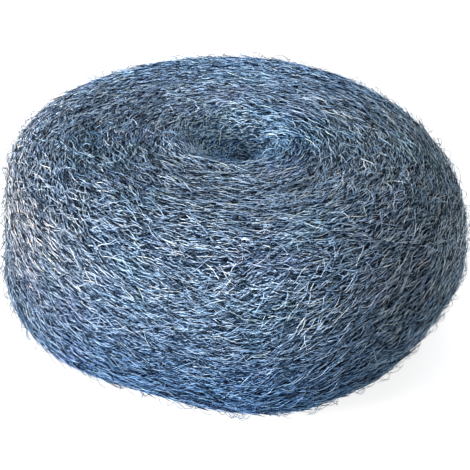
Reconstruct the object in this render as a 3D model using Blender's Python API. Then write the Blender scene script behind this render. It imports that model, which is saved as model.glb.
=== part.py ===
"""A roll of coarse steel wool, wound from one long strip and standing on its end.

Lengths are in metres and +Z is up. The origin is on the surface under the roll, in the middle of
its outline, and the roll's front faces -Y. A bearing is an angle in degrees about +Z, measured from
+X towards +Y.
"""

import math

import bmesh
import bpy

# Body of the roll.
SIDE_RADIUS = 0.1145
ROLL_HEIGHT = 0.104
SHOULDER_ROUNDING = 0.028
FOOT_ROUNDING = 0.020
BELLY_SWELL = 0.007
BELLY_HEIGHT = 0.035
BELLY_REACH = 0.062

# How the soft roll is out of true.
BELLY_SHIFT = 0.0050
TOP_SHIFT = -0.0025
TOP_TILT = 0.0025
TOP_CORNER_SIZE = 0.0029
TOP_CORNER_COUNT = 3
TOP_CORNER_BEARING = -46.0

# Places where the foot's edge is drawn in: bearing, extra rounding, half width in degrees.
FOOT_TUCKS = (
    (-25.0, 0.039, 28.0),
    (-106.0, 0.014, 24.0),
)

# The wound strip: its turns show as a spiral seam on both ends of the roll.
STRIP_THICKNESS = 0.026
SEAM_DEPTH = 0.0026
SEAM_DEPTH_UNDER = 0.0030
UNDER_FLAT_SHARE = 0.5

# The strip is folded double, so a shallower groove runs along the middle of each turn.
FOLD_DEPTH = 0.0014

# Bundles of fibres, low ridges that run round the side and climb round the front right.
BUNDLE_SPACING = 0.013
BUNDLE_HEIGHT = 0.0017
BUNDLE_CLIMBS = 5
CLIMB_BEARING = -52.0
CLIMB_HALF_WIDTH = 42.0
BUNDLE_FADE_FOOT = 0.022
BUNDLE_FADE_TOP = 0.020

# How the bundles wander up and down: waves round the roll, reach in spacings, bearing of a wave.
BUNDLE_WANDER = (
    (2, 0.30, 40.0),
    (5, 0.14, 110.0),
)

# How the bundles come and go: times round the roll, share of their height lost, and the rise from
# where one is full to where one is faintest.
BUNDLE_FADES = 3
BUNDLE_FADE_SHARE = 0.70
BUNDLE_FADE_RISE = 0.027

# The strip's outer end, a soft step down the side that slants towards the foot.
OUTER_END_BEARING = -30.0
OUTER_END_SLANT = 22.0
OUTER_END_STEP = 0.0030
OUTER_END_LENGTH = 60.0
OUTER_END_BLEND = 7.0

# The closed-in hollows in the middle of the two ends.
HOLLOW_RADIUS = 0.036
HOLLOW_DEPTH = 0.017
HOLLOW_SHIFT = -0.002
UNDER_HOLLOW_RADIUS = 0.022
UNDER_HOLLOW_DEPTH = 0.008

# Mesh density.
SECTORS = 64
UNDER_RINGS = 24
FOOT_RINGS = 13
SIDE_RINGS = 14
SHOULDER_RINGS = 6
TOP_RINGS = 30

STEEL_COLOUR = (0.33, 0.38, 0.44, 1.0)
STEEL_ROUGHNESS = 0.45
STEEL_METALLIC = 0.8


def turned_away(bearing, centre):
    """Degrees from one bearing to another, between -180 and 180."""
    return (bearing - centre + 180.0) % 360.0 - 180.0


def ease(share):
    """A smooth rise from 0 to 1."""
    share = min(max(share, 0.0), 1.0)
    return share * share * (3.0 - 2.0 * share)


def foot_rounding(bearing):
    """Rounding of the foot's edge, larger where the foot is drawn in."""
    rounding = FOOT_ROUNDING
    for centre, extra, half_width in FOOT_TUCKS:
        rounding += extra * math.exp(-((turned_away(bearing, centre) / half_width) ** 2))
    return rounding


def end_step(bearing, height):
    """How far the strip's outer end lifts the side. It is highest at the end and dies away."""
    end_bearing = OUTER_END_BEARING - OUTER_END_SLANT * (1.0 - height / ROLL_HEIGHT)
    past_end = turned_away(bearing, end_bearing)
    if past_end < -OUTER_END_BLEND:
        return 0.0
    rise = ease((past_end + OUTER_END_BLEND) / OUTER_END_BLEND)
    return OUTER_END_STEP * rise * math.exp(-max(past_end, 0.0) / OUTER_END_LENGTH)


def bundle_ridge(bearing, height):
    """How far a bundle of fibres stands out of the side, or the gap beside it lies in."""
    climb = ease(0.5 + 0.5 * turned_away(bearing, CLIMB_BEARING) / CLIMB_HALF_WIDTH)
    row = height / BUNDLE_SPACING - BUNDLE_CLIMBS * climb
    for waves, reach, wave_bearing in BUNDLE_WANDER:
        row += reach * math.cos(math.radians(waves * (bearing - wave_bearing)))
    come_and_go = math.radians(BUNDLE_FADES * bearing) + math.pi * height / BUNDLE_FADE_RISE
    strength = 1.0 - 0.5 * BUNDLE_FADE_SHARE * (1.0 - math.cos(come_and_go))
    ends = ease(height / BUNDLE_FADE_FOOT) * ease((ROLL_HEIGHT - height) / BUNDLE_FADE_TOP)
    return 0.5 * BUNDLE_HEIGHT * strength * ends * math.cos(2.0 * math.pi * row)


def side_radius(bearing, height):
    """Radius of the side at a height, before the edges are rounded."""
    share = height / ROLL_HEIGHT
    belly = BELLY_SWELL * (1.0 - ((height - BELLY_HEIGHT) / BELLY_REACH) ** 2)
    corner_angle = math.radians(TOP_CORNER_COUNT * (bearing - TOP_CORNER_BEARING))
    corners = TOP_CORNER_SIZE * share * math.cos(corner_angle)
    ridge = bundle_ridge(bearing, height)
    return SIDE_RADIUS + belly + corners + ridge + end_step(bearing, height)


def out_of_true(radius, bearing, height):
    """The place of a point of the true turned roll, once the soft roll has been pushed askew."""
    share = height / ROLL_HEIGHT
    x = radius * math.cos(math.radians(bearing))
    y = radius * math.sin(math.radians(bearing))
    lean = TOP_SHIFT * (share - 0.5) + BELLY_SHIFT * 4.0 * share * (1.0 - share)
    inward = max(1.0 - radius / SIDE_RADIUS, 0.0)
    tilt = TOP_TILT * share * share * x / SIDE_RADIUS
    return x + lean, y + HOLLOW_SHIFT * inward, height + tilt


def turns_in(radius, bearing):
    """How many turns of the strip lie outside a point. It is whole in the seams."""
    turns_past_end = (bearing - OUTER_END_BEARING) / 360.0
    return (SIDE_RADIUS - radius) / STRIP_THICKNESS - turns_past_end


def seam_gap(radius, bearing):
    """1 in the seam between two turns and 0 in the middle of a turn."""
    return 1.0 - abs(math.sin(math.pi * turns_in(radius, bearing)))


def fold_gap(radius, bearing):
    """1 in the fold in the middle of a turn and 0 in the seams."""
    return 1.0 - abs(math.cos(math.pi * turns_in(radius, bearing)))


def hollow(radius, hollow_radius, hollow_depth):
    """Depth of a hollow with a soft lip and a round floor."""
    return hollow_depth * ease(1.0 - radius / hollow_radius)


def top_sink(radius, bearing):
    """How far the top lies below the roll's full height."""
    grooves = SEAM_DEPTH * seam_gap(radius, bearing) + FOLD_DEPTH * fold_gap(radius, bearing)
    return grooves + hollow(radius, HOLLOW_RADIUS, HOLLOW_DEPTH)


def under_lift(radius, bearing, flat_radius):
    """How far the underside lies above the surface. The roll's weight presses each turn flat."""
    groove = 1.0 - (1.0 - seam_gap(radius, bearing)) / math.cos(math.pi * UNDER_FLAT_SHARE / 2.0)
    fade = ease((flat_radius - radius) / (STRIP_THICKNESS / 2.0))
    seam = SEAM_DEPTH_UNDER * max(groove, 0.0) * fade
    return seam + hollow(radius, UNDER_HOLLOW_RADIUS, UNDER_HOLLOW_DEPTH)


def section(bearing):
    """Points (radius, height) up one side of the roll, from the underside's middle to the top's."""
    foot = foot_rounding(bearing)
    flat_radius = side_radius(bearing, 0.0) - foot
    points = []
    for ring in range(1, UNDER_RINGS + 1):
        radius = flat_radius * ring / UNDER_RINGS
        points.append((radius, under_lift(radius, bearing, flat_radius)))
    for ring in range(1, FOOT_RINGS + 1):
        angle = math.radians(90.0 * ring / FOOT_RINGS)
        height = foot * (1.0 - math.cos(angle))
        points.append((side_radius(bearing, height) - foot * (1.0 - math.sin(angle)), height))
    side_top = ROLL_HEIGHT - SHOULDER_ROUNDING
    for ring in range(1, SIDE_RINGS + 1):
        height = foot + (side_top - foot) * ring / SIDE_RINGS
        points.append((side_radius(bearing, height), height))
    top_radius = side_radius(bearing, ROLL_HEIGHT) - SHOULDER_ROUNDING
    for ring in range(1, SHOULDER_RINGS + 1):
        angle = math.radians(90.0 * ring / SHOULDER_RINGS)
        height = side_top + SHOULDER_ROUNDING * math.sin(angle)
        radius = side_radius(bearing, height) - SHOULDER_ROUNDING * (1.0 - math.cos(angle))
        sink = top_sink(radius, bearing) * math.sin(angle) ** 2
        points.append((radius, height - sink))
    for ring in range(1, TOP_RINGS):
        radius = top_radius * (1.0 - ring / TOP_RINGS)
        points.append((radius, ROLL_HEIGHT - top_sink(radius, bearing)))
    return points


def roll_mesh():
    """One closed skin: rings of points between a middle point below and a middle point above."""
    shape = bmesh.new()
    columns = []
    for sector in range(SECTORS):
        bearing = 360.0 * sector / SECTORS
        places = [out_of_true(radius, bearing, height) for radius, height in section(bearing)]
        columns.append([shape.verts.new(place) for place in places])
    under_middle = shape.verts.new(out_of_true(0.0, 0.0, UNDER_HOLLOW_DEPTH))
    top_middle = shape.verts.new(out_of_true(0.0, 0.0, ROLL_HEIGHT - HOLLOW_DEPTH))
    for sector in range(SECTORS):
        here = columns[sector]
        there = columns[(sector + 1) % SECTORS]
        shape.faces.new((under_middle, there[0], here[0]))
        for low in range(len(here) - 1):
            shape.faces.new((here[low], there[low], there[low + 1], here[low + 1]))
        shape.faces.new((top_middle, here[-1], there[-1]))
    bmesh.ops.triangulate(shape, faces=shape.faces[:])
    centre_over_origin(shape)
    mesh = bpy.data.meshes.new("steel_wool_roll")
    shape.to_mesh(mesh)
    shape.free()
    mesh.shade_smooth()
    return mesh


def centre_over_origin(shape):
    """Move the roll so that the middle of its outline is over the origin."""
    for axis in (0, 1):
        places = [vert.co[axis] for vert in shape.verts]
        middle = (min(places) + max(places)) / 2.0
        for vert in shape.verts:
            vert.co[axis] -= middle


def steel_material():
    """Plain blue-grey steel."""
    material = bpy.data.materials.new("steel_wool")
    material.use_nodes = True
    shader = material.node_tree.nodes["Principled BSDF"]
    shader.inputs["Base Color"].default_value = STEEL_COLOUR
    shader.inputs["Roughness"].default_value = STEEL_ROUGHNESS
    shader.inputs["Metallic"].default_value = STEEL_METALLIC
    return material


def main():
    for thing in list(bpy.data.objects):
        bpy.data.objects.remove(thing, do_unlink=True)
    roll = bpy.data.objects.new("steel_wool_roll", roll_mesh())
    roll.data.materials.append(steel_material())
    bpy.context.scene.collection.objects.link(roll)


main()
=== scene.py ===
"""The look of a coarse steel wool roll: a matted body under a coat of steel fibres.

Lengths are in metres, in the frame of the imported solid. A bearing is an angle about +Z from +X.
The surface of the roll is read from the solid as a grid. A column of the grid runs from the middle
of the top, over the shoulder, down the side and in to the middle of the underside.

A pair of numbers after a name such as RING_SHIFT_RADII is the span of a smooth change: where it
starts and where it is complete, in either direction.
"""
import math

import bpy
import numpy as np
from mathutils import Matrix, Vector
from mathutils.bvhtree import BVHTree


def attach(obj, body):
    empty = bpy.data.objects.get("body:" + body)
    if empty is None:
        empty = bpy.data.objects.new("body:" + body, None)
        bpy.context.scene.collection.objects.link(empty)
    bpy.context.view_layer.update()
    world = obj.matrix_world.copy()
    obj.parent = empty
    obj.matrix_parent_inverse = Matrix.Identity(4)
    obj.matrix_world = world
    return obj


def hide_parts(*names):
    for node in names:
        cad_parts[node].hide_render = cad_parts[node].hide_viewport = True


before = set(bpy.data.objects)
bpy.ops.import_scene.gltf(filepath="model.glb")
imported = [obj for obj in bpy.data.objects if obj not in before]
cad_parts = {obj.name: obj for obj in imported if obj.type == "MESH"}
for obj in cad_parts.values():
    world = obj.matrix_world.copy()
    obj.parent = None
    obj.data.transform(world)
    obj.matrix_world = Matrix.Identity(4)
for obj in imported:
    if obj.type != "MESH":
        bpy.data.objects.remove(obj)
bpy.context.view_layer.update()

NODE = "steel_wool_roll"
BODY = "root"
SEED = 20

# How the solid is read. Rays fall on the top within the core's radius, spread out from a ring of that
# radius at the core's height round the rim, and rise on the underside.
FORM_BEARINGS = 200
FORM_STEPS = 132
TOP_STEPS = 50
RIM_STEPS = 49
CORE_RADIUS = 0.084
CORE_HEIGHT = 0.050
RAY_START = 0.3
FORM_BLUR = 0.8

# The surface grid that the pieces are made from. Lengths near the middle of an end are kept from 0.
BEARINGS = 264
STEPS = 132
NEAR_MIDDLE = 1e-4

# The winding on the two ends. The rings of the top lie a little towards the front.
TURN_PITCH = 0.026
INNER_RADIUS = 0.012
RING_SHIFT_IN = 0.006
RING_SHIFT_OUT = 0.020
RING_SHIFT_RADII = (0.03, 0.07)
END_SLOPES = (0.55, 0.9)

# How the fibres of the side slant up, in degrees, with the bearings and heights where they do.
LEFT_RISE = -6.0
LEFT_RISE_BEARINGS = ((-95.0, -125.0), (-178.0, -160.0))
FRONT_RISE = 27.0
FRONT_RISE_BEARINGS = ((-98.0, -68.0), (-8.0, -32.0))
FRONT_RISE_HEIGHTS = ((0.008, 0.026), (0.100, 0.074))
FRONT_RISE_AT_EDGES = 0.25

# A seam is where the surface lies below its blurred surroundings. The blur is in steps of the grid.
SEAM_BLUR = 7.0
SEAM_DEPTHS = (0.0003, 0.0022)

# The matted body under the fibres. It has low ridges, each with its wavelength and its share. The
# first are long, because the way round is shrunk to a small ring and the way down is stretched.
BODY_SINK = 0.0009
LOWEST = 0.0003
RIDGE_HEIGHT = 0.0002
RIDGE_RING = 0.045
RIDGE_SECTION = 0.66
LONG_RIDGES = (0.011, 0.7)
SHORT_RIDGES = (0.014, 0.5)
RIPPLE_LENGTHS = (0.7, 1.6)

# The fibres of a layer lie in combs of two, side by side, one bright and one dark, the dark one
# painted with the shade of a gap beside the bright one. The combs are a little wider on the level
# top. Near the middle of an end, a comb is set out as if a whole turn there had the least length.
COMB_FIBRES = 2
COMB_SPACING = 0.00048
COMB_WIDER_LEVEL = 1.25
COMB_JITTER = 0.00008
COMB_REACH = 0.0020
COMB_SPLAY = 3.0
COMB_DEPTH = 0.25
COMB_LEAST_TURN = 0.06

# The two layers of the coat: short straight needles of two points below, and longer fibres over them,
# of which a part lift off at one end. A stride is the length from point to point, and depth is the
# height over the surface. Tones run from 0, dark, to 1, bright, first the bright fibres' tone and
# then the dark ones'. The flank shade is painted shade on the lower sides of each fibre.
UNDER_LAYER = {
    "name": "fibre_under",
    "pieces": 2,
    "count": 49400,
    "points": 2,
    "stride": (0.0040, 0.0090),
    "depth": (-0.0004, 0.0003),
    "width": (0.00030, 0.00040),
    "tones": (0.80, 0.22),
    "flank_shade": 0.20,
    "lifted": 0.0,
}
OVER_LAYER = {
    "name": "fibre_coat",
    "pieces": 1,
    "count": 10900,
    "points": 5,
    "stride": (0.0028, 0.0048),
    "depth": (0.0000, 0.0005),
    "width": (0.00026, 0.00034),
    "tones": (0.93, 0.32),
    "flank_shade": 0.50,
    "lifted": 0.35,
}

# Loose fibres: wires that lie across the coat, and short ones that stand off it as fuzz.
STRAY_FIBRES = {
    "name": "stray_fibres",
    "count": 5400,
    "points": 8,
    "arch": (0.0001, 0.0010),
    "sway": 24.0,
    "tone": 0.78,
    "seed": SEED + 30,
}
FLYAWAYS = {
    "name": "flyaways",
    "count": 4200,
    "points": 6,
    "arch": (0.0006, 0.0044),
    "sway": 60.0,
    "tone": 0.42,
    "seed": SEED + 31,
}
STRAY_STRIDE = (0.0010, 0.0023)
STRAY_WIDTH = (0.00018, 0.00029)
STRAY_TONE_SPREAD = 0.15
STRAY_CLEARANCE = 0.0004
STRAY_LOWEST_START = 0.004
ARCH_LENGTHS = (0.5, 1.0)
ARCH_FULLNESS = 0.8

# The section of a fibre, as shares of its width, and how its sides are turned. Dark fibres are wider.
FIBRE_ROUND = 0.58
FIBRE_FLATNESS = 0.9
FIBRE_TILT = 0.35
DIM_WIDER = 1.25

# How the fibres run: sway off the winding and waves, in degrees, and lengths of the waves. Within the
# straight radius they get shorter, down to a share of their length. The underside has fewer.
FIBRE_SWAY = 17.0
CLUMP_SWAY = 2.5
CLUMP_SWAY_LENGTH = 0.022
WAVE_LENGTH = (0.008, 0.018)
WAVE_TURN = (4.0, 22.0)
STRAIGHT_RADIUS = 0.040
SHORTEST_SHARE = 0.3
UNDERSIDE_SHARE = 0.45
UNDERSIDE_SLOPE = -0.8

# How far a fibre bows, or stands off at its free end.
BOW = (0.0001, 0.0006)
END_LIFT = (0.0008, 0.0026)
END_CURVE = 1.6

# Changes of tone from fibre to fibre, and painted glints as changes of tone along each. The seam
# shade is painted shade on fibres deep in the seams.
TONE_SPREAD = 0.06
PAINTED_GLINTS_ALONG = 0.09
TIP_SHADE = 0.20
LIFTED_SHADE = 0.14
SEAM_SHADE = 0.12

# Changes of tone by place, all painted light and shade: on the level top a painted highlight on the
# bright fibres and painted shade on the dark ones, for more contrast; on the right painted shade on
# the dark fibres, with painted highlights on the bright ones of its side; painted shade on the
# shoulder and the top at the left and the front; and painted light on the hollow's shaded wall with
# painted shade at its lit lip, which make the hollow's two walls more alike.
LEVEL_SLOPES = (0.5, 0.9)
LEVEL_PAINTED_CONTRAST = 0.09
RIGHT_X = (0.02, 0.11)
RIGHT_SHADE = 0.15
RIGHT_TOP_SHADE = 0.20
RIGHT_PAINTED_HIGHLIGHT = 0.11
SHOULDER_SLOPES = (0.30, 0.55)
SHOULDER_LEFT_X = (-0.03, -0.09)
SHOULDER_FRONT_Y = (-0.045, -0.085)
SHOULDER_SHADE = 0.07
LIT_WALL_X = (-0.006, 0.020)
HOLLOW_RADII = (0.045, 0.020)
HOLLOW_LIGHT = 0.40
LIP_RADII = (0.060, 0.040)
HOLLOW_SHADE = 0.09

# The bake map has a cell for each fibre. Its margins are shares of the cell, and the corners of a
# needle's four faces have places in it.
FIBRE_CELL_SHAPE = 0.16
CELL_MARGIN = 0.05
FIBRE_CELL_MARGIN_UP = 0.10
NEEDLE_FACES = ((0, 1, 2), (1, 0, 3), (0, 2, 3), (1, 3, 2))
NEEDLE_ACROSS = ((0.0, 0.0, 1.0), (0.0, 0.0, 1.0), (0.0, 1.0, 1.0), (0.0, 1.0, 1.0))
NEEDLE_UPWARD = ((0.00, 0.22, 0.11), (0.25, 0.47, 0.36), (0.61, 0.50, 0.72), (0.86, 0.75, 0.97))

# Steel, from the painted shade of the gaps to the bright fibres.
FIBRE_COLOURS = (
    (0.00, (0.002, 0.005, 0.012)),
    (0.30, (0.018, 0.040, 0.080)),
    (0.55, (0.116, 0.218, 0.368)),
    (0.80, (0.460, 0.640, 0.880)),
    (1.00, (0.920, 0.990, 1.000)),
)
FIBRE_METALLIC = 0.15
FIBRE_ROUGHNESS = 0.45
STEEL_SPECULAR = 0.08

# The body's colours, from the painted shade of its gaps to its hairs.
BODY_COLOURS = (
    (0.00, (0.006, 0.012, 0.024)),
    (0.30, (0.022, 0.044, 0.082)),
    (0.60, (0.050, 0.105, 0.185)),
    (1.00, (0.220, 0.360, 0.540)),
)
BODY_METALLIC = 0.3
BODY_ROUGHNESS = (0.75, 0.42)
# Painted shade on the body deep in the seams.
BODY_SEAM_SHADE = 0.12

# The body's hairs. A warp has a scale and a reach. A set of hairs has a heading off the winding in
# degrees, a length and a width.
NEAR_WARP = (110.0, 0.005)
FAR_WARP = (70.0, 0.014)
LEVEL_HAIRS = (4.0, 0.0070, 0.00036)
RISING_HAIRS = (-FRONT_RISE, 0.0070, 0.00036)
CROSSING_HAIRS = (-12.0, 0.0060, 0.00036)
STEEP_SLANTS = (-0.15, -0.40)
HAIR_EDGES = (0.47, 0.64)
HAIR_BUMP_STRENGTH = 0.9
HAIR_BUMP_DEPTH = 0.0005

# Slow changes of hue: where each is, and its tint. The tints on the right and at the foot are
# painted shade, and the tint at the back is a painted blue reflection of the sky. The left is
# warmer, and the hollow bluer.
LEFT_TINT_X = (-0.050, -0.125)
LEFT_TINT_Z = (0.102, 0.080)
LEFT_TINT = (1.36, 1.03, 0.82)
RIGHT_TINT_X = (0.020, 0.120)
RIGHT_PAINTED_SHADE_TINT = (0.90, 0.88, 0.81)
BACK_TINT_Y = (0.020, 0.100)
BACK_PAINTED_REFLECTION_TINT = (0.86, 1.00, 1.14)
FOOT_TINT_Z = (0.085, 0.010)
FOOT_PAINTED_SHADE_TINT = (0.42, 0.58, 0.76)
HOLLOW_TINT_RADII = (0.050, 0.025)
HOLLOW_TINT = (0.92, 1.06, 1.14)

# Patches of hue: the scale of their noise, the value where they start and their tint.
HUE_PATCHES = (
    (26.0, 0.52, (0.94, 1.02, 1.01)),
    (31.0, 0.54, (1.03, 0.98, 1.03)),
)
HUE_PATCH_BLEND = 0.12

# Light: bearing, elevation, distance, size, power and colour.
KEY_LAMP = (-149.0, 9.0, 3.0, 1.2, 290.0, (1.0, 0.99, 0.98))
FILL_LAMP = (70.0, 60.0, 3.0, 2.0, 32.0, (0.80, 0.92, 1.0))
SIDE_LAMP = (-38.0, 5.0, 3.0, 2.0, 52.0, (1.0, 1.0, 0.96))
LAMP_AIM = (0.0, 0.0, 0.05)
SKY_COLOUR = (0.97, 0.985, 1.0)
SKY_LEVEL = 0.36

FLOOR_SIDE = 6.0
FLOOR_COLOUR = (0.45, 0.45, 0.45, 1.0)
FLOOR_ROUGHNESS = 0.9
FLOOR_GLOW = 0.80
WHITE = (1.0, 1.0, 1.0, 1.0)

# The photo's camera, with its angles in degrees and its lens and sensor in millimetres.
CAMERA_AIM = (0.0001, 0.0, 0.0406)
CAMERA_AZIMUTH = -0.70
CAMERA_ELEVATION = 31.10
CAMERA_ROLL = -5.15
CAMERA_DISTANCE = 0.8332
CAMERA_LENS = 117.72
CAMERA_SENSOR = 36.0


def smooth(low, high, value):
    """A smooth rise from 0 to 1 as value goes from low to high."""
    share = np.clip((value - low) / (high - low), 0.0, 1.0)
    return share * share * (3.0 - 2.0 * share)


def between(edges, value):
    """1 between two smooth edges and 0 outside them."""
    first, second = edges
    return smooth(*first, value) * smooth(*second, value)


def unit(vectors):
    """The same directions with length 1."""
    length = np.linalg.norm(vectors, axis=-1, keepdims=True)
    return vectors / np.maximum(length, 1e-12)


def ripple(places, wavelength, seed, waves=20):
    """A smooth random field with mean 0 and spread 1."""
    draw = np.random.default_rng(seed)
    directions = unit(draw.normal(size=(waves, 3)))
    lengths = wavelength * draw.uniform(*RIPPLE_LENGTHS, waves)
    phases = draw.uniform(0.0, 2.0 * math.pi, waves)
    turns = places @ (directions / lengths[:, None]).T
    return np.sin(2.0 * math.pi * turns + phases).sum(-1) * math.sqrt(2.0 / waves)


def blurred(grid, spread):
    """The grid blurred along both its directions. It closes on itself round the roll."""
    reach = max(int(3 * spread), 1)
    weights = np.exp(-0.5 * (np.arange(-reach, reach + 1) / spread) ** 2)
    weights /= weights.sum()
    around = sum(w * np.roll(grid, k - reach, axis=0) for k, w in enumerate(weights))
    ends = [(0, 0), (reach, reach)] + [(0, 0)] * (grid.ndim - 2)
    padded = np.pad(around, ends, mode="edge")
    steps = grid.shape[1]
    return sum(w * padded[:, k:k + steps] for k, w in enumerate(weights))


def section_ray(bearing, step):
    """Where a ray starts and its direction, to find one point of the roll's section."""
    out = Vector((math.cos(bearing), math.sin(bearing), 0.0))
    under_from = TOP_STEPS + RIM_STEPS
    if step <= TOP_STEPS:
        return out * (CORE_RADIUS * step / TOP_STEPS) + Vector((0, 0, RAY_START)), Vector((0, 0, -1))
    if step >= under_from:
        share = (FORM_STEPS - 1 - step) / (FORM_STEPS - 1 - under_from)
        return out * (CORE_RADIUS * share) - Vector((0, 0, RAY_START)), Vector((0, 0, 1))
    angle = math.pi * (0.5 - (step - TOP_STEPS) / RIM_STEPS)
    start = out * CORE_RADIUS + Vector((0, 0, CORE_HEIGHT))
    return start, out * math.cos(angle) + Vector((0, 0, math.sin(angle)))


def read_form():
    """The solid's surface as a grid of points, by bearing and by step down the section."""
    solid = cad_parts[NODE].data
    corners = [vert.co for vert in solid.vertices]
    faces = [list(face.vertices) for face in solid.polygons]
    tree = BVHTree.FromPolygons(corners, faces)
    form = np.zeros((FORM_BEARINGS, FORM_STEPS, 3))
    for column in range(FORM_BEARINGS):
        bearing = 2.0 * math.pi * column / FORM_BEARINGS
        for step in range(FORM_STEPS):
            start, direction = section_ray(bearing, step)
            form[column, step] = tree.ray_cast(start, direction)[0]
    return blurred(form, FORM_BLUR)


def at(grid, bearing, step):
    """Values of a grid between its points. Bearing runs 0 to 1 round the roll, step 0 to 1 down."""
    columns, rows = grid.shape[:2]
    u = (bearing % 1.0) * columns
    v = np.clip(step, 0.0, 1.0) * (rows - 1)
    left = np.floor(u).astype(int) % columns
    right = (left + 1) % columns
    high = np.minimum(v.astype(int), rows - 2)
    across = u - np.floor(u)
    down = v - high
    if grid.ndim == 3:
        across = across[..., None]
        down = down[..., None]
    upper = grid[left, high] * (1 - across) + grid[right, high] * across
    lower = grid[left, high + 1] * (1 - across) + grid[right, high + 1] * across
    return upper * (1 - down) + lower * down


def ring_shift(radius):
    """How far the rings of the top lie towards the front, at a radius."""
    return RING_SHIFT_IN + (RING_SHIFT_OUT - RING_SHIFT_IN) * smooth(*RING_SHIFT_RADII, radius)


class Surface:
    """The roll's surface as grids: places, normals, the way round, the way down and their scales."""

    def __init__(self, form):
        bearing, step = np.meshgrid(
            np.arange(BEARINGS) / BEARINGS, np.linspace(0, 1, STEPS), indexing="ij"
        )
        self.bearing = bearing
        self.step = step
        self.places = at(form, bearing, step)
        around = (np.roll(self.places, -1, 0) - np.roll(self.places, 1, 0)) * BEARINGS / 2
        down = np.gradient(self.places, axis=1) * (STEPS - 1)
        around[:, 0] = around[:, 1]
        around[:, -1] = around[:, -2]
        self.per_bearing = np.linalg.norm(around, axis=-1)
        self.per_bearing[:, [0, -1]] = 0.0
        self.per_step = np.linalg.norm(down, axis=-1)
        self.round = unit(around)
        self.normals = unit(np.cross(down, around))
        self.down = np.cross(self.round, self.normals)
        self.heading = self.fibre_heading()
        self.seam = self.seam_depth()
        self.relief = self.ridges()

    def fibre_heading(self):
        """Angle of the fibres from the way round towards the way down, as the strip is wound."""
        x, y, height = np.moveaxis(self.places, -1, 0)
        radius = np.hypot(x, y)
        shift = np.where(self.normals[..., 2] > 0, ring_shift(radius), 0.0)
        ring = np.stack([-(y + shift), x, np.zeros_like(x)], -1)
        ring_angle = np.arctan2((ring * self.down).sum(-1), (ring * self.round).sum(-1))
        ring_angle -= np.arctan2(TURN_PITCH, 2.0 * math.pi * np.maximum(radius, INNER_RADIUS))
        degrees = np.degrees(np.arctan2(y, x))
        left_rise = LEFT_RISE * between(LEFT_RISE_BEARINGS, degrees)
        front_rise = FRONT_RISE * between(FRONT_RISE_BEARINGS, degrees)
        middle = between(FRONT_RISE_HEIGHTS, height)
        rise = left_rise + front_rise * (FRONT_RISE_AT_EDGES + (1.0 - FRONT_RISE_AT_EDGES) * middle)
        level = smooth(*END_SLOPES, np.abs(self.normals[..., 2]))
        return ring_angle * level - np.radians(rise) * (1.0 - level)

    def seam_depth(self):
        """How deep a place lies below its surroundings, 0 on the crowns and 1 deep in a seam."""
        height = self.places[..., 2]
        sunk = (blurred(height, SEAM_BLUR) - height) * np.maximum(self.normals[..., 2], 0.0)
        return smooth(*SEAM_DEPTHS, sunk)

    def ridges(self):
        """Low ridges where the fibres lie in bundles, long in the way they run."""
        angle = 2.0 * math.pi * self.bearing
        across = self.step * RIDGE_SECTION
        places = np.stack([RIDGE_RING * np.cos(angle), RIDGE_RING * np.sin(angle), across], -1)
        long_length, long_share = LONG_RIDGES
        short_length, short_share = SHORT_RIDGES
        long_ridges = ripple(places, long_length, SEED + 1) * long_share
        return long_ridges + ripple(self.places, short_length, SEED + 2) * short_share


def build_mesh(name, points, quads, triangles):
    """A mesh from arrays of points, four-sided faces and three-sided faces."""
    mesh = bpy.data.meshes.new(name)
    corners = np.concatenate([quads.ravel(), triangles.ravel()])
    sizes = np.concatenate([np.full(len(quads), 4), np.full(len(triangles), 3)])
    starts = np.concatenate([[0], np.cumsum(sizes)[:-1]])
    mesh.vertices.add(len(points))
    mesh.vertices.foreach_set("co", points.astype(np.float32).ravel())
    mesh.loops.add(len(corners))
    mesh.loops.foreach_set("vertex_index", corners.astype(np.int32))
    mesh.polygons.add(len(sizes))
    mesh.polygons.foreach_set("loop_start", starts.astype(np.int32))
    mesh.update(calc_edges=True)
    mesh.validate()
    mesh.shade_smooth()
    return mesh


def add_values(mesh, name, values):
    """One number for each point of a mesh, for its material."""
    attribute = mesh.attributes.new(name, "FLOAT", "POINT")
    attribute.data.foreach_set("value", values.astype(np.float32).ravel())


def add_map(mesh, name, places):
    """A UV map from one place for each face corner."""
    layer = mesh.uv_layers.new(name=name)
    layer.data.foreach_set("uv", places.astype(np.float32).ravel())


def add_piece(name, mesh, material):
    """An object of the roll, on its body and in place of the solid."""
    piece = bpy.data.objects.new(name, mesh)
    piece.data.materials.append(material)
    bpy.context.scene.collection.objects.link(piece)
    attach(piece, BODY)
    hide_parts(NODE)


def body_faces(rows):
    """The body's faces: four-sided between its rings, and three-sided round the two middles."""
    column, row = np.meshgrid(np.arange(BEARINGS), np.arange(rows - 1), indexing="ij")
    here = (column * rows + row).ravel()
    beside = ((column + 1) % BEARINGS * rows + row).ravel()
    quads = np.stack([here, here + 1, beside + 1, beside], 1)
    first = np.arange(BEARINGS) * rows
    last = first + rows - 1
    top = np.full(BEARINGS, BEARINGS * rows)
    top_caps = np.stack([top, first, np.roll(first, -1)], 1)
    under_caps = np.stack([top + 1, np.roll(last, -1), last], 1)
    return quads, np.concatenate([top_caps, under_caps])


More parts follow.
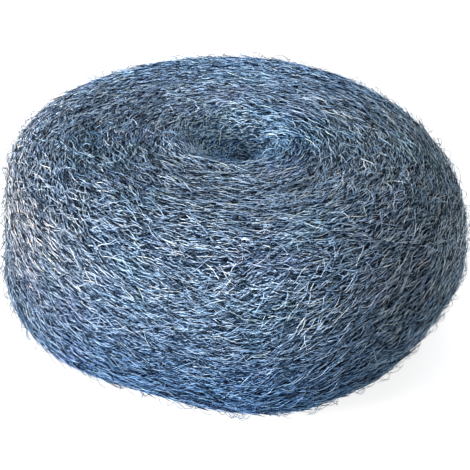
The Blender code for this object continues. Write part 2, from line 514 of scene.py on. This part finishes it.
def body_map(rows):
    """The body's bake map: the way round across it, and the section from the top down it."""
    column, row = np.meshgrid(np.arange(BEARINGS), np.arange(rows - 1), indexing="ij")
    ring = np.arange(BEARINGS)
    edge = 1.0 / (STEPS - 1)
    quads = (
        np.stack([column, column, column + 1, column + 1], -1) / BEARINGS,
        1.0 - np.stack([row + 1, row + 2, row + 2, row + 1], -1) / (STEPS - 1),
    )
    top_caps = (
        np.stack([ring + 0.5, ring, ring + 1], -1) / BEARINGS,
        np.array([1.0, 1.0 - edge, 1.0 - edge]),
    )
    under_caps = (
        np.stack([ring + 0.5, ring + 1, ring], -1) / BEARINGS,
        np.array([0.0, edge, edge]),
    )
    maps = [np.stack(np.broadcast_arrays(u, v), -1) for u, v in (quads, top_caps, under_caps)]
    return np.concatenate([places.reshape(-1, 2) for places in maps])


def ring_offset(points, surface):
    """What the shift of the rings adds to the distance down the section, on the level top."""
    radius = np.hypot(points[:, 0], points[:, 1])
    shifted = np.hypot(points[:, 0], points[:, 1] + ring_shift(radius))
    level = np.append(smooth(*END_SLOPES, surface.normals[:, 1:-1, 2]).ravel(), [1.0, 0.0])
    return (shifted - radius) * level


def winding_map(surface, points, corners, bake_map):
    """Metres round the roll and metres down its section, for each face corner of the body."""
    radius = np.hypot(points[:, 0], points[:, 1])
    along = bake_map[:, 0] * 2.0 * math.pi * radius[corners]
    section = np.concatenate([[0], np.cumsum(surface.per_step[:, :-1].mean(0)) / (STEPS - 1)])
    across = np.interp(1.0 - bake_map[:, 1], np.linspace(0, 1, STEPS), section)
    across += ring_offset(points, surface)[corners]
    return np.stack([along, across], 1)


def make_body(surface):
    """The matted wool under the coat: one closed skin, a little inside the solid."""
    sink = surface.relief * RIDGE_HEIGHT - BODY_SINK
    places = surface.places + surface.normals * sink[..., None]
    places[..., 2] = np.maximum(places[..., 2], LOWEST)
    places[:, 0] = places[:, 0].mean(0)
    places[:, -1] = places[:, -1].mean(0)
    points = np.concatenate([places[:, 1:-1].reshape(-1, 3), places[:1, 0], places[:1, -1]])
    rows = STEPS - 2
    quads, caps = body_faces(rows)
    mesh = build_mesh("wool_body", points, quads, caps)
    bake_map = body_map(rows)
    corners = np.concatenate([quads.ravel(), caps.ravel()])
    add_map(mesh, "OFBake", bake_map)
    add_map(mesh, "winding", winding_map(surface, points, corners, bake_map))
    add_values(mesh, "seam", np.append(surface.seam[:, 1:-1].ravel(), [0.0, 0.0]))
    add_values(mesh, "slant", np.append(np.tan(surface.heading[:, 1:-1]).ravel(), [0.0, 0.0]))
    add_piece("wool_body", mesh, body_material())


def pick_starts(surface, draw, count):
    """Places spread evenly over the surface, fewer on the pressed underside, column by column."""
    weight = surface.per_bearing * surface.per_step
    weight = weight * np.where(surface.normals[..., 2] < UNDERSIDE_SLOPE, UNDERSIDE_SHARE, 1.0)
    total = np.cumsum(weight.ravel())
    spread = (np.arange(count) + draw.uniform(size=count)) / count
    cell = np.searchsorted(total, spread * total[-1])
    column, row = np.divmod(np.minimum(cell, weight.size - 1), STEPS)
    bearing = (column + draw.uniform(-0.5, 0.5, count)) / BEARINGS
    step = (row + draw.uniform(-0.5, 0.5, count)) / (STEPS - 1)
    return bearing, np.clip(step, 0.0, 1.0)


def pick_combs(surface, draw, count):
    """Starts and sways of fibres that lie in combs, and each fibre's comb and number in it."""
    combs = count // COMB_FIBRES
    bearing, step = pick_starts(surface, draw, combs)
    sway = np.radians(FIBRE_SWAY) * draw.normal(size=combs)
    comb = np.repeat(draw.permutation(combs), COMB_FIBRES)
    number = np.tile(np.arange(COMB_FIBRES), combs)
    bearing = bearing[comb]
    step = step[comb]
    sway = sway[comb]
    heading = at(surface.heading, bearing, step) + sway
    level = smooth(*LEVEL_SLOPES, at(surface.normals, bearing, step)[:, 2])
    spacing = COMB_SPACING * (1.0 + (COMB_WIDER_LEVEL - 1.0) * level)
    across = (number - 0.5 * (COMB_FIBRES - 1)) * spacing
    across = across + COMB_JITTER * draw.normal(size=len(comb))
    along = draw.uniform(-COMB_REACH, COMB_REACH, len(comb))
    sideways = along * np.cos(heading) - across * np.sin(heading)
    down = along * np.sin(heading) + across * np.cos(heading)
    bearing = bearing + sideways / np.maximum(at(surface.per_bearing, bearing, step), COMB_LEAST_TURN)
    step = np.clip(step + down / at(surface.per_step, bearing, step), 0.0, 1.0)
    return bearing, step, sway, comb, number


def walk(surface, bearing, step, turn, points, length):
    """Places along fibres that start at the given places and turn off the winding by turn.

    Each half of the surface is walked over as a disc round the middle of its end, so that a fibre
    can cross the middle.
    """
    bearings = []
    steps = []
    for point in range(points):
        bearings.append(bearing)
        steps.append(step)
        heading = at(surface.heading, bearing, step) + turn[:, point]
        top = step < 0.5
        reach = np.maximum(np.where(top, step, 1.0 - step), NEAR_MIDDLE)
        inward = np.where(top, 1.0, -1.0)
        per_bearing = np.maximum(at(surface.per_bearing, bearing, step), NEAR_MIDDLE)
        sideways = 2.0 * math.pi * reach * length * np.cos(heading) / per_bearing
        outward = inward * length * np.sin(heading) / at(surface.per_step, bearing, step)
        angle = 2.0 * math.pi * bearing
        x = (reach + outward) * np.cos(angle) - sideways * np.sin(angle)
        y = (reach + outward) * np.sin(angle) + sideways * np.cos(angle)
        reach = np.hypot(x, y)
        bearing = (np.arctan2(y, x) / (2.0 * math.pi)) % 1.0
        step = np.clip(np.where(top, reach, 1.0 - reach), 0.0, 1.0)
    return np.stack(bearings, 1), np.stack(steps, 1)


def ways_across(spine, normals):
    """The ways across and up from the points of lines that lie on the surface."""
    along = unit(np.gradient(spine, axis=1))
    side = unit(np.cross(along, normals))
    return side, np.cross(side, along)


def fibre_mesh(name, spine, normals, width, tone, flank_shade, draw):
    """Three-sided fibres along the given lines, pointed at both ends, all in one mesh."""
    count, points = spine.shape[:2]
    side, up = ways_across(spine, normals)
    radius = (width * FIBRE_ROUND)[:, None, None]
    roll = 0.5 * math.pi + FIBRE_TILT * draw.normal(size=(count, points))
    corners = []
    for corner in range(3):
        angle = roll + 2.0 * math.pi * corner / 3.0
        offset = side * np.cos(angle)[..., None] + up * (FIBRE_FLATNESS * np.sin(angle))[..., None]
        corners.append(spine + offset * radius)
    middle = np.stack(corners, 2)[:, 1:-1].reshape(count, -1, 3)
    places = np.concatenate([spine[:, :1], middle, spine[:, -1:]], 1)
    places[..., 2] = np.maximum(places[..., 2], LOWEST)

    each = places.shape[1]
    first = (np.arange(count) * each)[:, None, None]
    last = first + each - 1
    corner = np.arange(3)[None, None, :]
    beside = (corner + 1) % 3
    here = first + 1 + 3 * np.arange(points - 3)[None, :, None]
    quads = np.stack([here + corner, here + 3 + corner, here + 3 + beside, here + beside], -1)
    head = np.stack(np.broadcast_arrays(first, first + 1 + corner, first + 1 + beside), -1)
    tail = np.stack(np.broadcast_arrays(last, last - 3 + beside, last - 3 + corner), -1)
    ends = np.concatenate([head, tail], 1)
    mesh = build_mesh(name, places.reshape(-1, 3), quads.reshape(-1, 4), ends.reshape(-1, 3))
    add_map(mesh, "OFBake", fibre_map(count, points))
    # Painted glints: random changes of tone from point to point along each fibre.
    tones = tone[:, None] + PAINTED_GLINTS_ALONG * draw.normal(size=(count, points))
    tips = tones[:, [0, -1]] - TIP_SHADE
    # Painted shade on the two lower sides of each fibre, under its ridge.
    flanks = tones[:, 1:-1, None] - flank_shade * np.array([0.0, 1.0, 1.0])
    tones = np.concatenate([tips[:, :1], flanks.reshape(count, -1), tips[:, 1:]], 1)
    add_values(mesh, "tone", np.clip(tones, 0.0, 1.0))
    return mesh


def needle_mesh(name, spine, normals, width, tone, flank_shade, draw):
    """Straight fibres of four faces each: level across one end and upright at the other."""
    count = len(spine)
    side, up = ways_across(spine, normals)
    radius = (width * FIBRE_ROUND)[:, None]
    level = side[:, 0] * radius
    upright = up[:, 1] * radius
    here = spine[:, 0]
    there = spine[:, 1]
    places = np.stack([here + level, here - level, there + upright, there - upright], 1)
    places[..., 2] = np.maximum(places[..., 2], LOWEST)
    faces = (np.arange(count) * 4)[:, None, None] + np.array(NEEDLE_FACES)
    mesh = build_mesh(name, places.reshape(-1, 3), np.zeros((0, 4), int), faces.reshape(-1, 3))
    add_map(mesh, "OFBake", needle_map(count))
    # Painted glints: random changes of tone from corner to corner of each needle.
    tones = tone[:, None] + PAINTED_GLINTS_ALONG * draw.normal(size=(count, 4))
    # Painted shade on two of each needle's four corners, on one side and below.
    tones -= flank_shade * np.array([0.0, 1.0, 0.0, 1.0])
    add_values(mesh, "tone", np.clip(tones, 0.0, 1.0))
    return mesh


def in_cells(count, fibre, across, upward, margin_up):
    """Places of the bake map, from places 0 to 1 across and up the cell of each fibre."""
    columns = max(int(math.sqrt(count * FIBRE_CELL_SHAPE)), 1)
    rows = math.ceil(count / columns)
    u = (fibre % columns + CELL_MARGIN + (1.0 - 2.0 * CELL_MARGIN) * across) / columns
    v = (fibre // columns + margin_up + (1.0 - 2.0 * margin_up) * upward) / rows
    return np.stack(np.broadcast_arrays(u, v), -1).reshape(-1, 2)


def needle_map(count):
    """A cell of the bake map for each needle, with its four faces one above the other."""
    fibre = np.arange(count)[:, None, None]
    return in_cells(count, fibre, np.array(NEEDLE_ACROSS), np.array(NEEDLE_UPWARD), CELL_MARGIN)


def fibre_map(count, points):
    """A cell of the bake map for each fibre: its length across the cell and its three sides up."""
    fibre = np.arange(count)[:, None, None, None]
    corner = np.arange(3)[None, None, :, None]
    point = np.arange(1, points - 2)[None, :, None, None]
    side_across = (point + np.array([0, 1, 1, 0])) / (points - 1)
    side_upward = (corner + np.array([0, 0, 1, 1])) / 3.0
    ends = np.array([[0, 1, 1], [points - 1, points - 2, points - 2]])
    end_across = ends[None, :, None, :] / (points - 1)
    end_upward = (corner + np.array([[0.5, 0.0, 1.0], [0.5, 1.0, 0.0]])[None, :, None, :]) / 3.0
    sides = in_cells(count, fibre, side_across, side_upward, FIBRE_CELL_MARGIN_UP)
    return np.concatenate([sides, in_cells(count, fibre, end_across, end_upward, FIBRE_CELL_MARGIN_UP)])


def waving(draw, count, points, length, sway):
    """Angles by which fibres turn off their way: a steady turn, in degrees, and a wave along each."""
    along = np.arange(points) * length[:, None]
    wave = draw.uniform(*WAVE_LENGTH, (count, 1))
    phase = draw.uniform(0, 2 * math.pi, (count, 1))
    size = np.radians(draw.uniform(*WAVE_TURN, (count, 1)))
    steady = np.radians(sway) * draw.normal(size=(count, 1))
    return steady + size * np.sin(2 * math.pi * along / wave + phase)


def raised_end(draw, share, lifted):
    """How far the fibres rise along their length: a low bow, or a free end that stands off."""
    count = len(lifted)
    bow = draw.uniform(*BOW, (count, 1)) * np.sin(math.pi * share)
    end = draw.uniform(*END_LIFT, (count, 1)) * share ** END_CURVE
    return np.where(lifted[:, None], end, bow)


def tone_of_place(surface, bearing, step, slope, bright):
    """What its place adds to a fibre's tone, all painted light and shade. Slope is the upward part
    of the surface's normal.
    """
    places = at(surface.places, bearing, step)
    x = places[:, 0]
    y = places[:, 1]
    radius = np.hypot(x, y)
    level = smooth(*LEVEL_SLOPES, slope)
    # Painted highlight on the bright fibres and painted shade on the dark ones, on the level top.
    tone = LEVEL_PAINTED_CONTRAST * level * np.where(bright, 1.0, -1.0)
    # Painted shade on the dark fibres on the right, more on its top, and painted highlights on the bright
    # fibres of its side.
    right = smooth(*RIGHT_X, x)
    tone -= (RIGHT_SHADE + RIGHT_TOP_SHADE * level) * right * ~bright
    tone += RIGHT_PAINTED_HIGHLIGHT * right * bright * (1.0 - level)
    # Painted shade on the shoulder and the top beyond it, at the left and the front.
    facing = np.maximum(smooth(*SHOULDER_LEFT_X, x), smooth(*SHOULDER_FRONT_Y, y))
    tone -= SHOULDER_SHADE * smooth(*SHOULDER_SLOPES, slope) * facing * (1.0 - right)
    # Painted shade on fibres that lie deep in the seams.
    tone -= SEAM_SHADE * at(surface.seam, bearing, step)
    # Painted light on the hollow's shaded wall, and painted shade at the lip of its lit wall.
    lit_wall = smooth(*LIT_WALL_X, x)
    tone += HOLLOW_LIGHT * smooth(*HOLLOW_RADII, radius) * (1.0 - lit_wall)
    tone -= HOLLOW_SHADE * smooth(*LIP_RADII, radius) * lit_wall
    return tone


def make_coat(surface, layer, piece):
    """One of the pieces of a layer of the coat."""
    name = f"{layer['name']}_{piece + 1}"
    points = layer["points"]
    draw = np.random.default_rng([SEED, piece, points])
    bearing, step, sway, comb, number = pick_combs(surface, draw, layer["count"])
    count = len(bearing)
    places = at(surface.places, bearing, step)
    shorter = np.clip(np.hypot(places[:, 0], places[:, 1]) / STRAIGHT_RADIUS, SHORTEST_SHARE, 1.0)
    stride = draw.uniform(*layer["stride"], count) * shorter
    turn = waving(draw, count, points, stride, COMB_SPLAY) + sway[:, None]
    turn += np.radians(CLUMP_SWAY) * ripple(places, CLUMP_SWAY_LENGTH, SEED + 3)[:, None]
    bearings, steps = walk(surface, bearing, step, turn, points, stride)
    normals = unit(at(surface.normals, bearings, steps))
    low, high = layer["depth"]
    height = draw.uniform(size=count)[comb] + COMB_DEPTH * (draw.uniform(size=count) - 0.5)
    depth = (low + (high - low) * height)[:, None]
    lifted = draw.uniform(size=count) < layer["lifted"]
    rise = depth + raised_end(draw, np.linspace(0.0, 1.0, points), lifted)
    spine = at(surface.places, bearings, steps) + normals * rise[..., None]
    # One bright fibre in each comb, and one dark one painted with the shade of a gap.
    bright = (number + comb) % 2 == 0
    width = draw.uniform(*layer["width"], count) * np.where(bright, 1.0, DIM_WIDER)
    tone = np.where(bright, *layer["tones"]) + TONE_SPREAD * draw.normal(size=count)
    tone -= LIFTED_SHADE * lifted
    tone += tone_of_place(surface, bearing, step, normals[:, 0, 2], bright)
    make_mesh = needle_mesh if points == 2 else fibre_mesh
    mesh = make_mesh(name, spine, normals, width, tone, layer["flank_shade"], draw)
    add_piece(name, mesh, fibre_material())


def make_strays(surface, kind):
    """Loose fibres that lie across the coat or arch out of it."""
    draw = np.random.default_rng(kind["seed"])
    points = kind["points"]
    bearing, step = pick_starts(surface, draw, kind["count"])
    keep = at(surface.places, bearing, step)[:, 2] > STRAY_LOWEST_START
    bearing = bearing[keep]
    step = step[keep]
    count = len(bearing)
    stride = draw.uniform(*STRAY_STRIDE, count)
    turn = waving(draw, count, points, stride, kind["sway"])
    bearings, steps = walk(surface, bearing, step, turn, points, stride)
    normals = unit(at(surface.normals, bearings, steps))
    share = np.linspace(0.0, 1.0, points)
    peak = draw.uniform(*kind["arch"], (count, 1))
    arch = peak * np.sin(math.pi * share * draw.uniform(*ARCH_LENGTHS, (count, 1))) ** ARCH_FULLNESS
    spine = at(surface.places, bearings, steps) + normals * (arch + STRAY_CLEARANCE)[..., None]
    width = draw.uniform(*STRAY_WIDTH, count)
    tone = kind["tone"] + STRAY_TONE_SPREAD * draw.normal(size=count)
    mesh = fibre_mesh(kind["name"], spine, normals, width, tone, 0.0, draw)
    add_piece(kind["name"], mesh, fibre_material())


def add_node(tree, kind, settings=None, **inputs):
    """A node with its settings, and with values or links in its inputs."""
    made = tree.nodes.new(kind)
    for name, value in (settings or {}).items():
        setattr(made, name, value)
    for name, value in inputs.items():
        key = int(name[1:]) if name[0] == "_" else name.replace("_", " ")
        socket = made.inputs[key]
        if isinstance(value, bpy.types.NodeSocket):
            tree.links.new(value, socket)
        else:
            socket.default_value = value
    return made


def blank_material(name):
    """A material with its shader and nothing set."""
    material = bpy.data.materials.new(name)
    material.use_nodes = True
    return material, material.node_tree, material.node_tree.nodes["Principled BSDF"]


def sum_of(tree, operation, first, second):
    """The output of one sum."""
    return add_node(tree, "ShaderNodeMath", {"operation": operation}, _0=first, _1=second).outputs[0]


def span(tree, value, low, high):
    """0 to 1 as a value goes from low to high."""
    settings = {"interpolation_type": "SMOOTHSTEP"}
    made = add_node(tree, "ShaderNodeMapRange", settings, Value=value, From_Min=low, From_Max=high)
    return made.outputs["Result"]


def tinted(tree, colour, share, tint):
    """A colour multiplied by a tint, as far as share says."""
    made = add_node(tree, "ShaderNodeMix", {"data_type": "RGBA", "blend_type": "MULTIPLY"})
    tree.links.new(share, made.inputs["Factor"])
    tree.links.new(colour, made.inputs["A"])
    made.inputs["B"].default_value = (*tint, 1.0)
    return made.outputs["Result"]


def mixed(tree, share, first, second):
    """The first number where share is 0, and the second where it is 1."""
    made = add_node(tree, "ShaderNodeMix", {"data_type": "FLOAT"})
    tree.links.new(share, made.inputs["Factor"])
    tree.links.new(first, made.inputs["A"])
    tree.links.new(second, made.inputs["B"])
    return made.outputs["Result"]


def ramp(tree, value, stops):
    """A colour for each value, from a list of places and colours."""
    made = add_node(tree, "ShaderNodeValToRGB", None, Fac=value)
    marks = made.color_ramp.elements
    while len(marks) < len(stops):
        marks.new(0.5)
    for mark, (place, colour) in zip(marks, stops):
        mark.position = place
        mark.color = (*colour, 1.0)
    return made.outputs["Color"]


def own_value(tree, name):
    """The number that a mesh holds for each of its points under a name."""
    return add_node(tree, "ShaderNodeAttribute", {"attribute_name": name}).outputs["Fac"]


def painted_light_and_hues(tree, colour):
    """A steel colour with the roll's slow changes of hue over it: painted shade on the right and at
    the foot, a painted blue reflection of the sky at the back, warmer on the left, bluer in the
    hollow, and patches of hue.
    """
    place = add_node(tree, "ShaderNodeTexCoord").outputs["Object"]
    parts = add_node(tree, "ShaderNodeSeparateXYZ", None, Vector=place).outputs
    level = add_node(tree, "ShaderNodeVectorMath", {"operation": "MULTIPLY"}, _0=place, _1=(1.0, 1.0, 0.0))
    reach = add_node(tree, "ShaderNodeVectorMath", {"operation": "LENGTH"}, _0=level.outputs[0])
    left_x = span(tree, parts["X"], *LEFT_TINT_X)
    left = sum_of(tree, "MULTIPLY", left_x, span(tree, parts["Z"], *LEFT_TINT_Z))
    right = span(tree, parts["X"], *RIGHT_TINT_X)
    back = span(tree, parts["Y"], *BACK_TINT_Y)
    foot = span(tree, parts["Z"], *FOOT_TINT_Z)
    hollow = span(tree, reach.outputs["Value"], *HOLLOW_TINT_RADII)
    colour = tinted(tree, colour, left, LEFT_TINT)
    # Painted shade on the right, a painted blue reflection of the sky at the back, and painted shade at
    # the foot.
    colour = tinted(tree, colour, right, RIGHT_PAINTED_SHADE_TINT)
    colour = tinted(tree, colour, back, BACK_PAINTED_REFLECTION_TINT)
    colour = tinted(tree, colour, foot, FOOT_PAINTED_SHADE_TINT)
    colour = tinted(tree, colour, hollow, HOLLOW_TINT)
    for size, start, tint in HUE_PATCHES:
        patch = add_node(tree, "ShaderNodeTexNoise", None, Vector=place, Scale=size, Detail=2.0)
        share = span(tree, patch.outputs["Fac"], start, start + HUE_PATCH_BLEND)
        colour = tinted(tree, colour, share, tint)
    return colour


def fibre_material():
    """Bright drawn steel, from dull blue-grey to silver by the fibre's tone."""
    if "steel_fibre" in bpy.data.materials:
        return bpy.data.materials["steel_fibre"]
    material, tree, shader = blank_material("steel_fibre")
    colour = painted_light_and_hues(tree, ramp(tree, own_value(tree, "tone"), FIBRE_COLOURS))
    tree.links.new(colour, shader.inputs["Base Color"])
    shader.inputs["Metallic"].default_value = FIBRE_METALLIC
    shader.inputs["Specular IOR Level"].default_value = STEEL_SPECULAR
    shader.inputs["Roughness"].default_value = FIBRE_ROUGHNESS
    return material


def warp_of(tree, place, size, reach):
    """A slow sideways shift, in metres, that makes hairs wavy."""
    noise = add_node(tree, "ShaderNodeTexNoise", None, Vector=place, Scale=size, Detail=1.0)
    return sum_of(tree, "MULTIPLY", sum_of(tree, "SUBTRACT", noise.outputs["Fac"], 0.5), reach)


def hairs(tree, along, across, warp, heading, length, width):
    """Thin wavy lines that run at a heading off the winding, in degrees. 1 on a line and 0 away."""
    wavy = sum_of(tree, "ADD", across, warp)
    turn = math.radians(heading)
    ahead = sum_of(tree, "ADD", sum_of(tree, "MULTIPLY", along, math.cos(turn)),
                   sum_of(tree, "MULTIPLY", wavy, math.sin(turn)))
    beside = sum_of(tree, "SUBTRACT", sum_of(tree, "MULTIPLY", wavy, math.cos(turn)),
                    sum_of(tree, "MULTIPLY", along, math.sin(turn)))
    u = sum_of(tree, "DIVIDE", ahead, length)
    v = sum_of(tree, "DIVIDE", beside, width)
    vector = add_node(tree, "ShaderNodeCombineXYZ", None, X=u, Y=v).outputs[0]
    noise = add_node(tree, "ShaderNodeTexNoise", {"noise_dimensions": "2D"}, Vector=vector,
                     Scale=1.0, Detail=2.0, Roughness=0.6)
    return noise.outputs["Fac"]


def body_material():
    """Matted wool: fine bright hairs over painted shade in the gaps, in the ways that the fibres run."""
    material, tree, shader = blank_material("matted_wool")
    winding = add_node(tree, "ShaderNodeUVMap", {"uv_map": "winding"}).outputs["UV"]
    parts = add_node(tree, "ShaderNodeSeparateXYZ", None, Vector=winding).outputs
    along = parts["X"]
    across = parts["Y"]
    place = add_node(tree, "ShaderNodeTexCoord").outputs["Object"]
    near = warp_of(tree, place, *NEAR_WARP)
    far = warp_of(tree, place, *FAR_WARP)
    steep = span(tree, own_value(tree, "slant"), *STEEP_SLANTS)
    level = hairs(tree, along, across, near, *LEVEL_HAIRS)
    rising = hairs(tree, along, across, near, *RISING_HAIRS)
    crossing = hairs(tree, along, across, far, *CROSSING_HAIRS)
    wool = sum_of(tree, "MAXIMUM", mixed(tree, steep, level, rising), crossing)
    bright = span(tree, wool, *HAIR_EDGES)
    # Painted shade in the seams.
    shade = sum_of(tree, "MULTIPLY", own_value(tree, "seam"), BODY_SEAM_SHADE)
    colour = painted_light_and_hues(tree, ramp(tree, sum_of(tree, "SUBTRACT", bright, shade), BODY_COLOURS))
    tree.links.new(colour, shader.inputs["Base Color"])
    shader.inputs["Metallic"].default_value = BODY_METALLIC
    shader.inputs["Specular IOR Level"].default_value = STEEL_SPECULAR
    gap_rough, hair_rough = BODY_ROUGHNESS
    rough = add_node(tree, "ShaderNodeMapRange", None, Value=bright, To_Min=gap_rough, To_Max=hair_rough)
    tree.links.new(rough.outputs["Result"], shader.inputs["Roughness"])
    bump = add_node(tree, "ShaderNodeBump", None, Height=bright, Strength=HAIR_BUMP_STRENGTH,
                    Distance=HAIR_BUMP_DEPTH)
    tree.links.new(bump.outputs["Normal"], shader.inputs["Normal"])
    return material


def seen_ray(tree):
    """1 for what the eye sees, itself, in a reflection or through glass, and 0 for other light."""
    rays = add_node(tree, "ShaderNodeLightPath").outputs
    seen = sum_of(tree, "MAXIMUM", rays["Is Camera Ray"], rays["Is Glossy Ray"])
    return sum_of(tree, "MAXIMUM", seen, rays["Is Transmission Ray"])


def make_floor():
    """A floor that is white for the eye and keeps the roll's shadow."""
    half = FLOOR_SIDE / 2.0
    points = np.array([(-half, -half, 0), (half, -half, 0), (half, half, 0), (-half, half, 0)])
    mesh = build_mesh("floor", points, np.array([[0, 1, 2, 3]]), np.zeros((0, 3), int))
    floor = bpy.data.objects.new("floor", mesh)
    material, tree, shader = blank_material("floor")
    shader.inputs["Base Color"].default_value = FLOOR_COLOUR
    shader.inputs["Roughness"].default_value = FLOOR_ROUGHNESS
    shader.inputs["Specular IOR Level"].default_value = 0.0
    shader.inputs["Emission Color"].default_value = WHITE
    glow = sum_of(tree, "MULTIPLY", seen_ray(tree), FLOOR_GLOW)
    tree.links.new(glow, shader.inputs["Emission Strength"])
    mesh.materials.append(material)
    bpy.context.scene.collection.objects.link(floor)


def make_world():
    """White for the eye and in reflections, and a soft light from all round."""
    world = bpy.data.worlds.new("studio")
    bpy.context.scene.world = world
    world.use_nodes = True
    tree = world.node_tree
    sky = tree.nodes["Background"]
    sky.inputs["Color"].default_value = (*SKY_COLOUR, 1.0)
    seen = seen_ray(tree)
    strength = add_node(tree, "ShaderNodeMapRange", None, Value=seen, To_Min=SKY_LEVEL, To_Max=1.0)
    tree.links.new(strength.outputs["Result"], sky.inputs["Strength"])


def add_lamp(name, bearing, elevation, distance, size, power, colour):
    """A square soft lamp that points at the middle of the roll."""
    light = bpy.data.lights.new(name, "AREA")
    light.size = size
    light.energy = power
    light.color = colour
    lamp = bpy.data.objects.new(name, light)
    flat = math.cos(math.radians(elevation))
    away = Vector((
        flat * math.cos(math.radians(bearing)),
        flat * math.sin(math.radians(bearing)),
        math.sin(math.radians(elevation)),
    ))
    lamp.location = Vector(LAMP_AIM) + away * distance
    lamp.rotation_euler = away.to_track_quat("Z", "Y").to_euler()
    bpy.context.scene.collection.objects.link(lamp)


def make_camera():
    """The photo's view: from the front, a third of the way up to overhead, and slightly rolled."""
    data = bpy.data.cameras.new("camera")
    data.lens = CAMERA_LENS
    data.sensor_width = CAMERA_SENSOR
    camera = bpy.data.objects.new("camera", data)
    around = math.radians(CAMERA_AZIMUTH)
    rise = math.radians(CAMERA_ELEVATION)
    roll = math.radians(CAMERA_ROLL)
    back = Vector((
        -math.sin(around) * math.cos(rise),
        -math.cos(around) * math.cos(rise),
        math.sin(rise),
    ))
    right = Vector((math.cos(around), -math.sin(around), 0.0))
    up = back.cross(right)
    rolled_right = right * math.cos(roll) - up * math.sin(roll)
    rolled_up = right * math.sin(roll) + up * math.cos(roll)
    turn = Matrix((rolled_right, rolled_up, back)).transposed()
    camera.matrix_world = Matrix.Translation(Vector(CAMERA_AIM) + back * CAMERA_DISTANCE) @ turn.to_4x4()
    bpy.context.scene.collection.objects.link(camera)
    bpy.context.scene.camera = camera


def main():
    surface = Surface(read_form())
    make_body(surface)
    for layer in (UNDER_LAYER, OVER_LAYER):
        for piece in range(layer["pieces"]):
            make_coat(surface, layer, piece)
    for kind in (STRAY_FIBRES, FLYAWAYS):
        make_strays(surface, kind)
    make_floor()
    make_world()
    add_lamp("key", *KEY_LAMP)
    add_lamp("fill", *FILL_LAMP)
    add_lamp("side", *SIDE_LAMP)
    make_camera()
    bpy.context.scene.view_settings.view_transform = "Standard"


main()
